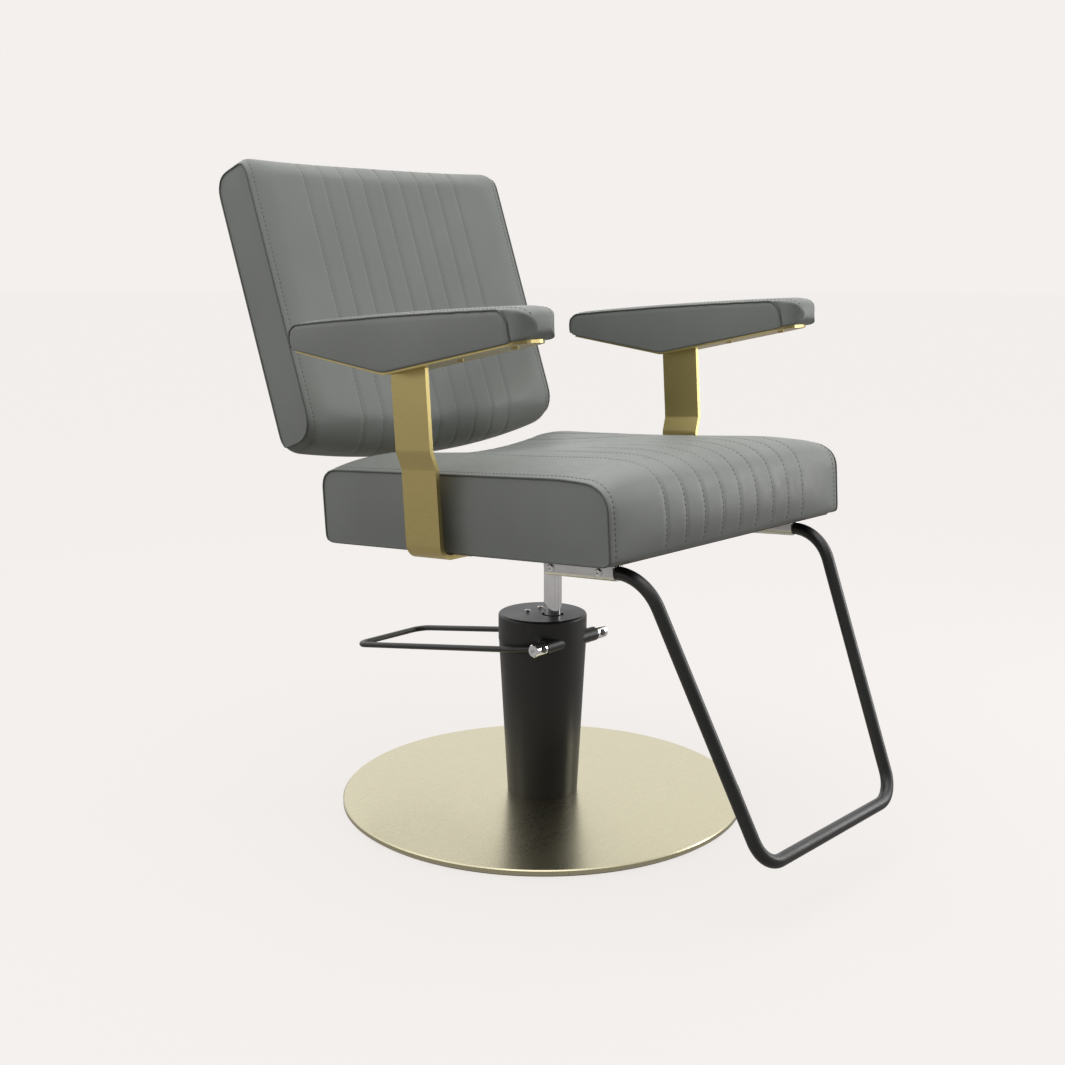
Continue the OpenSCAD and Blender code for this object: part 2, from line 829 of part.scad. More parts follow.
// ---------------------------------------------------------------- footrest
// Tube centre line: socket end, upper bend, lower bend, mirrored
foot_points = [
  [foot_top_x, socket_y0 - socket_stop - 4, tube_z],
  [foot_top_x, -foot_top_y, tube_z],
  [foot_low_x, -foot_low_y, -foot_drop],
  [0, -foot_low_y, -foot_drop]
];

// Straight tube between two points, reaching a lap into the bends at its ends
module tube_run(a, b, r) {
  d = b - a;
  translate(a) rotate([0, acos(d[2] / norm(d)), atan2(d[1], d[0])])
    translate([0, 0, -lap]) cylinder(r = r, h = norm(d) + 2 * lap, $fn = 48);
}

// Bent tube at corner p between directions a and b (both away from p)
module tube_bend(p, a, b, radius, r) {
  half = acos(a * b) / 2;
  mid = (a + b) / norm(a + b);
  c = p + mid * radius / sin(half);
  // local frame: x from the centre to the corner, y in the plane of the bend
  x = -mid;
  y = (b - a) / norm(b - a);
  z = cross(x, y);
  multmatrix([[x[0], y[0], z[0], c[0]], [x[1], y[1], z[1], c[1]], [x[2], y[2], z[2], c[2]], [0, 0, 0, 1]])
    rotate(-(90 - half)) rotate_extrude(angle = 180 - 2 * half, $fn = 96)
      translate([radius, 0]) circle(r = r + swell, $fn = 48);
}

// Round tube or bar along a chain of points, each with its own bend radius
module tube_path(points, radii, r) {
  n = len(points);
  for (i = [0:n - 2]) {
    d = unit(points[i + 1] - points[i]);
    tube_run(points[i] + d * cut(points, radii, i), points[i + 1] - d * cut(points, radii, i + 1), r);
  }
  for (i = [1:n - 2])
    tube_bend(points[i], unit(points[i - 1] - points[i]), unit(points[i + 1] - points[i]), radii[i], r);
}

module footrest_tube() {
  color(black) seated() both_sides() tube_path(foot_points, [0, foot_bend_top, foot_bend_low, 0], foot_r);
}

module tube_socket() {
  r = tube_socket_r;
  seated() difference() {
    union() {
      translate([foot_top_x, socket_y0, tube_z]) rotate([90, 0, 0]) cylinder(r = r, h = socket_len, $fn = 64);
      translate([foot_top_x - r, socket_y0 - socket_len, tube_z])
        cube([2 * r, socket_len, -plate_t - tube_z]);
    }
    translate([foot_top_x, socket_y0 - socket_stop, tube_z]) rotate([90, 0, 0])
      cylinder(r = foot_r + fit, h = socket_len, $fn = 64);
    at_socket_screws() screw_hole(m5_low, -socket_wall - 1, 1);
  }
}

// On the socket's outer side, near its two ends
module at_socket_screws() {
  for (y = [socket_y0 - 12, socket_y0 - socket_len + 22])
    translate([foot_top_x + tube_socket_r, y, tube_z + 1]) rotate([0, 90, 0]) children();
}

module tube_socket_left() { color(steel) scale([-1, 1, 1]) tube_socket(); }
module tube_socket_right() { color(steel) tube_socket(); }

module socket_screws() {
  color(steel) both_sides() seated() at_socket_screws() screw(m5_low, socket_wall - 0.4);
}

// ---------------------------------------------------------------- lever
module lever_axle() { color(steel) axle_line(axle_r, axle_end); }

// Flat arm welded over the axle, with a round tip that pushes the plunger
module rocker_arm() {
  tip_w = 2 * rocker_w;
  color(black) difference() {
    union() {
      translate([rocker_x - rocker_w / 2, axle_y, axle_z - rocker_h / 3])
        cube([rocker_w, rocker_len, rocker_h]);
      translate([rocker_x - tip_w / 2, plunger_y, axle_z]) rotate([0, 90, 0])
        cylinder(r = rocker_tip_r, h = tip_w);
    }
    axle_line(axle_r, axle_end);
  }
}

module clamp() {
  x0 = boss_x + gap;
  difference() {
    translate([x0, axle_y, axle_z]) rotate([0, 90, 0]) bar_round(clamp_r, 0, clamp_x - x0, 1.2);
    axle_line(axle_r, axle_end);
    lever_hole();
    translate([lever_x, axle_y, axle_z]) rotate([0, 90, 0])
      cylinder(r = clamp_screw_r, h = clamp_x, $fn = 48);
  }
}

module lever_hole() {
  translate([lever_x, axle_y, axle_z]) rotate([-90 - lever_droop, 0, 0])
    cylinder(r = lever_d / 2, h = 4 * clamp_r, center = true, $fn = 48);
}

module clamp_left() { color(steel) scale([-1, 1, 1]) clamp(); }
module clamp_right() { color(steel) clamp(); }

// Grub screws that press on the lever's arms, sunk a little in the clamps' ends
module clamp_screws() {
  sink = 1;
  length = clamp_x - sink - lever_x - lever_d / 2;
  color(steel) both_sides() translate([clamp_x - sink, axle_y, axle_z]) rotate([0, 90, 0]) difference() {
    bar_round(clamp_screw_r, -length, 0, 0.5);
    translate([0, 0, -3]) cylinder(r = 0.55 * clamp_screw_r, h = 4, $fn = 6);
  }
}

// Right half of the lever: out of the clamp, round the column, back to the rear bar
module lever_bar() {
  stub = clamp_r + 1;
  points = [[lever_x, -stub, 0], [lever_x, joggle_y0, 0], [lever_wide_x, joggle_y0 + joggle_len, 0],
            [lever_wide_x, lever_reach, 0], [0, lever_reach, 0]];
  color(black) place([0, axle_y, axle_z], [-lever_droop, 0, 0]) both_sides()
    tube_path(points, [0, joggle_r, joggle_r, lever_corner_r, 0], lever_d / 2);
}

// ---------------------------------------------------------------- plunger
module pump_plunger() {
  color(steel) at_plunger() {
    bar_round(plunger_r, plunger_z1 - plunger_len, plunger_z1, 0.5);
    translate([0, 0, plunger_z1 - plunger_head_t]) bar_round(barrel_r - 1, 0, plunger_head_t, 0.5);
  }
}

// Helical spring of round wire from z0 to z1 (wire centres)
module helix(radius, wire, z0, z1, turns, steps = 14, sides = 6) {
  rings = turns * steps;
  points = [for (i = [0:rings], j = [0:sides - 1])
    let (a = 360 * i / steps, b = 360 * j / sides, q = radius + wire / 2 * cos(b))
    [q * cos(a), q * sin(a), z0 + (z1 - z0) * i / rings + wire / 2 * sin(b)]];
  walls = [for (i = [0:rings - 1], j = [0:sides - 1])
    let (k = (j + 1) % sides)
    [i * sides + j, (i + 1) * sides + j, (i + 1) * sides + k, i * sides + k]];
  ends = [[for (j = [0:sides - 1]) j], [for (j = [sides - 1:-1:0]) rings * sides + j]];
  polyhedron(points, concat(walls, ends), convexity = 12);
}

module plunger_spring() {
  play = spring_wire / 2 + 2 * fit;
  color(steel) at_plunger()
    helix(plunger_r + spring_wire / 2 + 0.6, spring_wire, barrel_z1 + play,
          plunger_z1 - plunger_head_t - play, 7);
}

floor_pad();
base_disc();
base_screws();
pump_flange();
pressure_cylinder();
guide_bush();
wiper_ring();
column_shell();
column_cap();
cap_screws();
axle_bushes();
plunger_barrel();
release_valve();
piston_head();
piston_seal();
thrust_bearing();
piston_rod();
seat_socket();
seat_plate();
seat_plate_screws();
seat_board();
dust_cover();
seat_foam();
seat_cover();
arm_strap_left();
arm_strap_right();
strap_screws();
arm_plate_left();
arm_plate_right();
arm_screws();
arm_pad_left();
arm_pad_right();
back_bracket();
bracket_screws();
back_board();
back_foam();
back_cover();
back_screws();
footrest_tube();
tube_socket_left();
tube_socket_right();
socket_screws();
lever_axle();
rocker_arm();
clamp_left();
clamp_right();
clamp_screws();
lever_bar();
pump_plunger();
plunger_spring();
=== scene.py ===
"""Looks of the styling chair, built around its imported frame. Lengths are in metres."""
import json
import math

import bmesh
import bpy
from mathutils import Matrix, Vector
from mathutils.bvhtree import BVHTree
from mathutils.kdtree import KDTree


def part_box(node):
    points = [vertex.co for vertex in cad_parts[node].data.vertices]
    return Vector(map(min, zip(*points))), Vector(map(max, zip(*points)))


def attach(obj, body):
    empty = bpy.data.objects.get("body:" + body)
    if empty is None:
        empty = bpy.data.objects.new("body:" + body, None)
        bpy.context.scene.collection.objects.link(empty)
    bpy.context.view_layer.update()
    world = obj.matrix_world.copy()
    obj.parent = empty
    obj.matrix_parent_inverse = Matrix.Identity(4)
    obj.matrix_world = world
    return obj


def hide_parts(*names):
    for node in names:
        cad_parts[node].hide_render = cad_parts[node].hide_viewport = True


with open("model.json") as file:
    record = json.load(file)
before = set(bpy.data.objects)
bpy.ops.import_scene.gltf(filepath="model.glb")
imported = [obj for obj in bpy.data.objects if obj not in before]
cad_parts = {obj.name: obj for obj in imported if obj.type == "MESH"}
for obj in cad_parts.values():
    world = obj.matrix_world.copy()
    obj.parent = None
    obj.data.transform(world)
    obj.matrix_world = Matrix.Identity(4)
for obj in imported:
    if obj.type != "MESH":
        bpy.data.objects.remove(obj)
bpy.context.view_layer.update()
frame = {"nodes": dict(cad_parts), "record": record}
nodes = frame["nodes"]

# ---------------------------------------------------------------- the chair's own frames
PISTON_Y = -0.020
SEAT_Z = 0.418
SEAT_TILT = math.radians(3.9)
BACK_LEAN = math.radians(15.7)
BACK_Y = 0.2835
BACK_Z = 0.122
ARM_Z = 0.239

CHANNELS = 9
CHANNEL_W = 0.0030
SEAM_INSET = 0.011
SEAM_W = 0.004
SEAM_DEPTH = 0.0012
WELT_R = 0.0014
STITCH_LIFT = 0.0002

SEAT = Matrix.Translation((0, PISTON_Y, SEAT_Z)) @ Matrix.Rotation(-SEAT_TILT, 4, "X")
BACK = SEAT @ Matrix.Translation((0, BACK_Y, BACK_Z)) @ Matrix.Rotation(-BACK_LEAN, 4, "X")


# ---------------------------------------------------------------- small helpers
def smooth(a, b, x):
    """0 below a, 1 above b, and a smooth turn between them."""
    t = min(max((x - a) / (b - a), 0), 1)
    return t * t * (3 - 2 * t)


def mix(a, b, t):
    return a + (b - a) * t


def new_object(name, mesh):
    obj = bpy.data.objects.new(name, mesh)
    bpy.context.scene.collection.objects.link(obj)
    return obj


def baked(obj, name):
    """A plain mesh object of what obj's modifiers make; obj goes."""
    bpy.context.view_layer.update()
    graph = bpy.context.evaluated_depsgraph_get()
    mesh = bpy.data.meshes.new_from_object(obj.evaluated_get(graph), depsgraph=graph)
    mesh.name = name
    bpy.data.objects.remove(obj)
    return new_object(name, mesh)


# ---------------------------------------------------------------- shader groups
def add_node(tree, kind, links=None, **settings):
    """A node with its settings, and its inputs linked or set by name or number."""
    node = tree.nodes.new(kind)
    for label, value in settings.items():
        setattr(node, label, value)
    for label, value in (links or {}).items():
        if isinstance(value, bpy.types.NodeSocket):
            tree.links.new(value, node.inputs[label])
        else:
            node.inputs[label].default_value = value
    return node


SOCKETS = {"float": "NodeSocketFloat", "colour": "NodeSocketColor", "vector": "NodeSocketVector"}
SHADED = {"Colour": "colour", "Roughness": "float", "Height": "float"}


class Group:
    """A shader node group with named inputs and outputs."""

    def __init__(self, name, inputs, outputs):
        self.tree = bpy.data.node_groups.new(name, "ShaderNodeTree")
        for label, (kind, value) in inputs.items():
            socket = self.tree.interface.new_socket(name=label, in_out="INPUT", socket_type=SOCKETS[kind])
            if value is not None:
                socket.default_value = value
        for label, kind in outputs.items():
            self.tree.interface.new_socket(name=label, in_out="OUTPUT", socket_type=SOCKETS[kind])
        self.inputs = self.tree.nodes.new("NodeGroupInput").outputs
        self.outputs = self.tree.nodes.new("NodeGroupOutput").inputs

    def node(self, kind, links=None, **settings):
        return add_node(self.tree, kind, links, **settings)


def leather_group():
    """Pebbled grain with soft creases, and slow changes of colour and gloss."""
    g = Group("leather", {"Position": ("vector", None), "Colour": ("colour", (0.2, 0.2, 0.2, 1)),
                          "Grain": ("float", 1100.0), "Rough": ("float", 0.45)},
              SHADED)
    at = g.inputs["Position"]
    pebbles = g.node("ShaderNodeTexVoronoi", {"Vector": at, "Scale": g.inputs["Grain"]}, feature="F1")
    fine = g.node("ShaderNodeTexNoise", {"Vector": at, "Scale": 900.0, "Detail": 4.0})
    creases = g.node("ShaderNodeTexNoise", {"Vector": at, "Scale": 55.0, "Detail": 3.0, "Distortion": 0.6})
    clouds = g.node("ShaderNodeTexNoise", {"Vector": at, "Scale": 7.0, "Detail": 2.0})
    pebble_h = g.node("ShaderNodeMath", {0: pebbles.outputs["Distance"], 1: 0.7}, operation="MULTIPLY")
    height = g.node("ShaderNodeMath", {0: fine.outputs["Fac"], 1: 0.5, 2: pebble_h.outputs[0]},
                    operation="MULTIPLY_ADD")
    height = g.node("ShaderNodeMath", {0: creases.outputs["Fac"], 1: 0.8, 2: height.outputs[0]},
                    operation="MULTIPLY_ADD")
    g.tree.links.new(height.outputs[0], g.outputs["Height"])
    shade = g.node("ShaderNodeMapRange", {"Value": clouds.outputs["Fac"], "From Min": 0.3, "From Max": 0.7,
                                          "To Min": 0.94, "To Max": 1.05})
    deep = g.node("ShaderNodeMapRange", {"Value": pebbles.outputs["Distance"], "From Min": 0.1,
                                         "From Max": 0.8, "To Min": 1.03, "To Max": 0.93})
    tone = g.node("ShaderNodeMath", {0: shade.outputs[0], 1: deep.outputs[0]}, operation="MULTIPLY")
    coloured = g.node("ShaderNodeVectorMath", {0: g.inputs["Colour"], "Scale": tone.outputs[0]},
                      operation="SCALE")
    g.tree.links.new(coloured.outputs[0], g.outputs["Colour"])
    gloss = g.node("ShaderNodeMapRange", {"Value": creases.outputs["Fac"], "From Min": 0.3, "From Max": 0.7,
                                          "To Min": -0.05, "To Max": 0.05})
    rough = g.node("ShaderNodeMath", {0: g.inputs["Rough"], 1: gloss.outputs[0]}, operation="ADD")
    g.tree.links.new(rough.outputs[0], g.outputs["Roughness"])
    return g.tree


def brushed_group():
    """Fine lines drawn along one axis of the Position input, with soft cloudiness."""
    g = Group("brushed metal", {"Position": ("vector", None), "Colour": ("colour", (0.5, 0.5, 0.5, 1)),
                                "Rough": ("float", 0.3), "Streak": ("float", 0.06)},
              SHADED)
    at = g.inputs["Position"]
    lines = g.node("ShaderNodeTexNoise", {"Vector": at, "Scale": 1.0, "Detail": 5.0, "Roughness": 0.7})
    clouds = g.node("ShaderNodeTexNoise", {"Vector": at, "Scale": 0.02, "Detail": 2.0})
    shade = g.node("ShaderNodeMapRange", {"Value": lines.outputs["Fac"], "From Min": 0.25,
                                          "From Max": 0.75, "To Min": 0.90, "To Max": 1.08})
    coloured = g.node("ShaderNodeVectorMath", {0: g.inputs["Colour"], "Scale": shade.outputs[0]},
                      operation="SCALE")
    g.tree.links.new(coloured.outputs[0], g.outputs["Colour"])
    both = g.node("ShaderNodeMath", {0: lines.outputs["Fac"], 1: clouds.outputs["Fac"]}, operation="ADD")
    spread = g.node("ShaderNodeMath", {0: both.outputs[0], 1: g.inputs["Streak"], 2: g.inputs["Rough"]},
                    operation="MULTIPLY_ADD")
    g.tree.links.new(spread.outputs[0], g.outputs["Roughness"])
    g.tree.links.new(lines.outputs["Fac"], g.outputs["Height"])
    return g.tree


def coating_group():
    """Sprayed or cast finish: orange peel, faint dust and wear in its gloss."""
    g = Group("coating", {"Position": ("vector", None), "Colour": ("colour", (0.02, 0.02, 0.02, 1)),
                          "Rough": ("float", 0.35), "Peel": ("float", 700.0)},
              SHADED)
    at = g.inputs["Position"]
    peel = g.node("ShaderNodeTexNoise", {"Vector": at, "Scale": g.inputs["Peel"], "Detail": 2.0})
    clouds = g.node("ShaderNodeTexNoise", {"Vector": at, "Scale": 14.0, "Detail": 5.0})
    shade = g.node("ShaderNodeMapRange", {"Value": clouds.outputs["Fac"], "From Min": 0.3,
                                          "From Max": 0.7, "To Min": 0.85, "To Max": 1.2})
    coloured = g.node("ShaderNodeVectorMath", {0: g.inputs["Colour"], "Scale": shade.outputs[0]},
                      operation="SCALE")
    g.tree.links.new(coloured.outputs[0], g.outputs["Colour"])
    gloss = g.node("ShaderNodeMapRange", {"Value": clouds.outputs["Fac"], "From Min": 0.3,
                                          "From Max": 0.7, "To Min": -0.04, "To Max": 0.06})
    rough = g.node("ShaderNodeMath", {0: g.inputs["Rough"], 1: gloss.outputs[0]}, operation="ADD")
    g.tree.links.new(rough.outputs[0], g.outputs["Roughness"])
    g.tree.links.new(peel.outputs["Fac"], g.outputs["Height"])
    return g.tree


LEATHER = leather_group()
BRUSHED = brushed_group()
COATING = coating_group()


# ---------------------------------------------------------------- materials
def finish_of(name, group, colour, rough, metallic=0.0, bump=0.1, depth=0.0002,
              stretch=(1, 1, 1), extra=None, shader_values=None):
    """A material that lays one shader group over the surface, its pattern packed closer by stretch."""
    mat = bpy.data.materials.new(name)
    mat.use_nodes = True
    tree = mat.node_tree
    shader = tree.nodes["Principled BSDF"]
    shader.inputs["Metallic"].default_value = metallic
    for label, value in (shader_values or {}).items():
        shader.inputs[label].default_value = value
    place = add_node(tree, "ShaderNodeTexCoord").outputs["Object"]
    if stretch != (1, 1, 1):
        place = add_node(tree, "ShaderNodeMapping", {"Vector": place, "Scale": stretch}).outputs[0]
    effect = add_node(tree, "ShaderNodeGroup", node_tree=group)
    tree.links.new(place, effect.inputs["Position"])
    effect.inputs["Colour"].default_value = (*colour, 1)
    effect.inputs["Rough"].default_value = rough
    for label, value in (extra or {}).items():
        effect.inputs[label].default_value = value
    relief = add_node(tree, "ShaderNodeBump", {"Height": effect.outputs["Height"], "Strength": bump,
                                               "Distance": depth})
    tree.links.new(effect.outputs["Colour"], shader.inputs["Base Color"])
    tree.links.new(effect.outputs["Roughness"], shader.inputs["Roughness"])
    tree.links.new(relief.outputs[0], shader.inputs["Normal"])
    return mat


GREY = (0.198, 0.208, 0.195)
BRASS = (0.56, 0.455, 0.19)
leatherette = finish_of("leatherette", LEATHER, GREY, 0.46, bump=0.25, depth=0.0003,
                        shader_values={"Specular IOR Level": 0.4})
welt = finish_of("leatherette welt", LEATHER, (0.095, 0.100, 0.093), 0.5, bump=0.2, depth=0.0002)
thread = finish_of("sewing thread", COATING, (0.175, 0.183, 0.171), 0.7, bump=0.3, extra={"Peel": 2500.0})
brushed_brass = finish_of("brushed brass", BRUSHED, BRASS, 0.24, 1, 0.05, 0.0001, (90, 90, 1400))
disc_brass = finish_of("disc brass", BRUSHED, (0.535, 0.492, 0.338), 0.22, 1, 0.012, 0.00003, (60, 900, 60))
black_paint = finish_of("black paint", COATING, (0.016, 0.016, 0.015), 0.38, 0, 0.12, 0.0002)
chrome = finish_of("chrome", COATING, (0.80, 0.80, 0.81), 0.08, 1, 0.01, 0.0001)
satin_steel = finish_of("satin steel", BRUSHED, (0.82, 0.82, 0.81), 0.34, 0.75, 0.04, 0.0001, (900, 60, 60))
steel = finish_of("steel", BRUSHED, (0.5, 0.5, 0.5), 0.3, 1, 0.04, 0.0001, (60, 60, 900))
rubber = finish_of("rubber", COATING, (0.02, 0.02, 0.02), 0.75, 0, 0.3, 0.0003)
plywood = finish_of("plywood", BRUSHED, (0.42, 0.30, 0.17), 0.6, 0, 0.1, 0.0002, (8, 200, 500))
bronze = finish_of("bronze", COATING, (0.45, 0.28, 0.12), 0.35, 1, 0.05, 0.0001)
dust_cloth = finish_of("dust cloth", COATING, (0.014, 0.014, 0.014), 0.9, 0, 0.5, 0.0004,
                       extra={"Peel": 1500.0})
foam = finish_of("foam", COATING, (0.75, 0.70, 0.50), 0.9, 0, 0.5, 0.0006, extra={"Peel": 900.0})

FINISH = {
    "leatherette": leatherette, "brushed_brass": brushed_brass, "disc_brass": disc_brass,
    "black_paint": black_paint, "chrome": chrome, "satin_steel": satin_steel, "steel": steel,
    "rubber": rubber, "plywood": plywood, "back_panel": leatherette, "bronze": bronze,
    "dust_cloth": dust_cloth, "foam": foam,
}


def finish_cad_nodes():
    for part in frame["record"]["subparts"]:
        mesh = nodes[part["node"]].data
        mesh.materials.clear()
        mesh.materials.append(FINISH[part["material_slot"]])


finish_cad_nodes()


# ---------------------------------------------------------------- padded pieces
def rounded_edges(corners, counts):
    """Closed outline split at the middle of its four round corners.

    corners holds (point, radius) and may hold more points with radius 0 between the four;
    counts gives the number of steps on each edge. Each edge is a list of evenly spaced points."""
    n = len(corners)
    halves = []
    for i, (point, radius) in enumerate(corners):
        point = Vector(point)
        back = (Vector(corners[i - 1][0]) - point).normalized()
        ahead = (Vector(corners[(i + 1) % n][0]) - point).normalized()
        if radius == 0:
            halves.append(([point], []))
            continue
        half = back.angle(ahead) / 2
        centre = point + (back + ahead).normalized() * radius / math.sin(half)
        start = point + back * radius / math.tan(half)
        end = point + ahead * radius / math.tan(half)
        spokes = [(start - centre).lerp(end - centre, k / 8).normalized() for k in range(9)]
        arc = [centre + spoke * radius for spoke in spokes]
        halves.append((arc[:5], arc[4:]))
    edges, current = [], None
    for first, second in halves + halves[:1]:
        if not second:
            current += first
            continue
        if current is not None:
            edges.append(current + first)
        current = list(second)
    return [resampled(edge, count) for edge, count in zip(edges, counts)]


def resampled(points, count):
    """count + 1 evenly spaced points along a chain."""
    lengths = [0]
    for a, b in zip(points, points[1:]):
        lengths.append(lengths[-1] + (b - a).length)
    result, k = [], 0
    for i in range(count + 1):
        want = lengths[-1] * i / count
        while k < len(points) - 2 and lengths[k + 1] < want:
            k += 1
        span = lengths[k + 1] - lengths[k]
        result.append(points[k].lerp(points[k + 1], min(max((want - lengths[k]) / span, 0), 1)))
    return result


def box_pad(name, edges, stations, shape):
    """Closed quad mesh of a boxed pad: its side outline (four edges in y and z) run across x.

    shape(x, y, z) moves each point. Both side panels are filled with a grid."""
    low, front, top, rear = edges
    loop = low[:-1] + front[:-1] + top[:-1] + rear[:-1]
    n = len(loop)
    a, b = len(low) - 1, len(front) - 1
    mesh = bmesh.new()
    rows = [[mesh.verts.new(shape(x, *p)) for p in loop] for x in stations]
    for i in range(len(stations) - 1):
        for j in range(n):
            k = (j + 1) % n
            mesh.faces.new((rows[i][j], rows[i][k], rows[i + 1][k], rows[i + 1][j]))
    for x, row in ((stations[0], rows[0]), (stations[-1], rows[-1])):
        grid = [[None] * (b + 1) for _ in range(a + 1)]
        for i in range(a + 1):
            grid[i][0] = row[i]
            grid[i][b] = row[(2 * a + b - i) % n]
        for j in range(b + 1):
            grid[a][j] = row[a + j]
            grid[0][j] = row[(2 * a + 2 * b - j) % n]
        for i in range(1, a):
            for j in range(1, b):
                u, v = i / a, j / b
                p = low[i].lerp(top[a - i], v) + rear[b - j].lerp(front[j], u)
                p -= low[0].lerp(low[-1], u).lerp(top[-1].lerp(top[0], u), v)
                grid[i][j] = mesh.verts.new(shape(x, *p))
        for i in range(a):
            for j in range(b):
                mesh.faces.new((grid[i][j], grid[i + 1][j], grid[i + 1][j + 1], grid[i][j + 1]))
    bmesh.ops.recalc_face_normals(mesh, faces=mesh.faces)
    data = bpy.data.meshes.new(name)
    mesh.to_mesh(data)
    mesh.free()
    return new_object(name, data)


def inflate(obj, held, pressure, cap):
    """Blow the pad up like filled fabric, by cap at most; held(point) says what seams and board hold."""
    frames = 20
    group = obj.vertex_groups.new(name="held")
    rest = [v.co.copy() for v in obj.data.vertices]
    group.add([i for i, p in enumerate(rest) if held(p)], 1.0, "REPLACE")
    cloth = obj.modifiers.new("filling", "CLOTH")
    cloth.settings.quality = 6
    cloth.settings.mass = 0.4
    cloth.settings.tension_stiffness = 25
    cloth.settings.compression_stiffness = 25
    cloth.settings.shear_stiffness = 12
    cloth.settings.bending_stiffness = 6
    cloth.settings.vertex_group_mass = "held"
    cloth.settings.use_pressure = True
    cloth.settings.uniform_pressure_force = pressure
    cloth.settings.effector_weights.gravity = 0
    cloth.point_cache.frame_start = 1
    cloth.point_cache.frame_end = frames
    scene = bpy.context.scene
    for step in range(1, frames + 1):
        scene.frame_set(step)
    graph = bpy.context.evaluated_depsgraph_get()
    blown = obj.evaluated_get(graph).to_mesh()
    moved = [v.co.copy() for v in blown.vertices]
    obj.evaluated_get(graph).to_mesh_clear()
    obj.modifiers.remove(cloth)
    obj.vertex_groups.remove(group)
    scene.frame_set(1)
    for vertex, start, end in zip(obj.data.vertices, rest, moved):
        move = end - start
        if move.length > cap:
            move *= cap / move.length
        vertex.co = start + move


def subdivided(obj, name, levels, crease):
    """Subdivision surface, sharp where crease(a, b) of an edge's two points asks for it."""
    mesh = obj.data
    values = mesh.attributes.new("crease_edge", "FLOAT", "EDGE")
    for edge, value in zip(mesh.edges, values.data):
        a, b = (mesh.vertices[i].co for i in edge.vertices)
        value.value = crease(a, b)
    finer = obj.modifiers.new("finer", "SUBSURF")
    finer.levels = finer.render_levels = levels
    return baked(obj, name)


def carve(obj, depth_at):
    """Push every point inwards along its normal by depth_at(point, normal)."""
    moves = [v.normal * -depth_at(v.co, v.normal) for v in obj.data.vertices]
    for vertex, move in zip(obj.data.vertices, moves):
        vertex.co += move


def surface_of(obj):
    return BVHTree.FromPolygons([v.co for v in obj.data.vertices], [p.vertices for p in obj.data.polygons])


def on_surface(tree, points, lift=0.0):
    """The nearest places on a surface, lifted off it."""
    result = []
    for p in points:
        place, normal, _, _ = tree.find_nearest(p)
        result.append(place + normal * lift)
    return result


def dense_points(chains, step=0.0008):
    """Lookup of the nearest place along some chains."""
    points = []
    for chain in chains:
        length = sum((b - a).length for a, b in zip(chain, chain[1:]))
        points += resampled(chain, int(length / step))
    lookup = KDTree(len(points))
    for i, p in enumerate(points):
        lookup.insert(p, i)
    lookup.balance()
    return lookup


def curve_along(name, chains, closed=False):
    """A curve through chains of points."""
    curve = bpy.data.curves.new(name, "CURVE")
    curve.dimensions = "3D"
    for points in chains:
        spline = curve.splines.new("POLY")
        spline.points.add(len(points) - 1)
        for place, p in zip(spline.points, points):
            place.co = (*p, 1)
        spline.use_cyclic_u = closed
    return curve


def welts(name, chains, closed):
    """Round cord sewn in along chains of points."""
    curve = curve_along(name, chains, closed)
    curve.bevel_depth = WELT_R
    curve.bevel_resolution = 4
    curve.use_fill_caps = True
    return baked(new_object(name, curve), name)


def stitch_tree():
    """Short round stitches, evenly spaced along curves."""
    tree = bpy.data.node_groups.new("stitch rows", "GeometryNodeTree")
    face = tree.interface
    face.new_socket(name="Geometry", in_out="INPUT", socket_type="NodeSocketGeometry")
    for label in ("Pitch", "Length", "Thickness"):
        face.new_socket(name=label, in_out="INPUT", socket_type="NodeSocketFloat")
    face.new_socket(name="Thread", in_out="INPUT", socket_type="NodeSocketMaterial")
    face.new_socket(name="Geometry", in_out="OUTPUT", socket_type="NodeSocketGeometry")
    given = tree.nodes.new("NodeGroupInput").outputs
    out = tree.nodes.new("NodeGroupOutput").inputs
    places = add_node(tree, "GeometryNodeResampleCurve",
                      {"Curve": given["Geometry"], "Length": given["Pitch"]}, mode="LENGTH")
    bead = add_node(tree, "GeometryNodeMeshUVSphere", {"Segments": 6, "Rings": 4, "Radius": 0.5})
    size = add_node(tree, "ShaderNodeCombineXYZ", {"X": given["Thickness"], "Y": given["Thickness"],
                                                   "Z": given["Length"]})
    tangent = add_node(tree, "GeometryNodeInputTangent")
    turn = add_node(tree, "FunctionNodeAlignRotationToVector", {"Vector": tangent.outputs[0]}, axis="Z")
    rows = add_node(tree, "GeometryNodeInstanceOnPoints",
                    {"Points": places.outputs[0], "Instance": bead.outputs[0],
                     "Rotation": turn.outputs[0], "Scale": size.outputs[0]})
    real = add_node(tree, "GeometryNodeRealizeInstances", {"Geometry": rows.outputs[0]})
    smoothed = add_node(tree, "GeometryNodeSetShadeSmooth", {"Geometry": real.outputs[0]})
    painted = add_node(tree, "GeometryNodeSetMaterial", {"Geometry": smoothed.outputs[0],
                                                         "Material": given["Thread"]})
    tree.links.new(painted.outputs[0], out["Geometry"])
    return tree


STITCHES = stitch_tree()


def stitches(name, rows, pitch=0.0065, length=0.0042, thickness=0.0011):
    """Rows of stitches along chains of points."""
    obj = new_object(name, curve_along(name, rows))
    made = obj.modifiers.new("stitches", "NODES")
    made.node_group = STITCHES
    values = {"Pitch": pitch, "Length": length, "Thickness": thickness, "Thread": thread}
    for item in STITCHES.interface.items_tree:
        if item.in_out == "INPUT" and item.name in values:
            made[item.identifier] = values[item.name]
    return baked(obj, name)


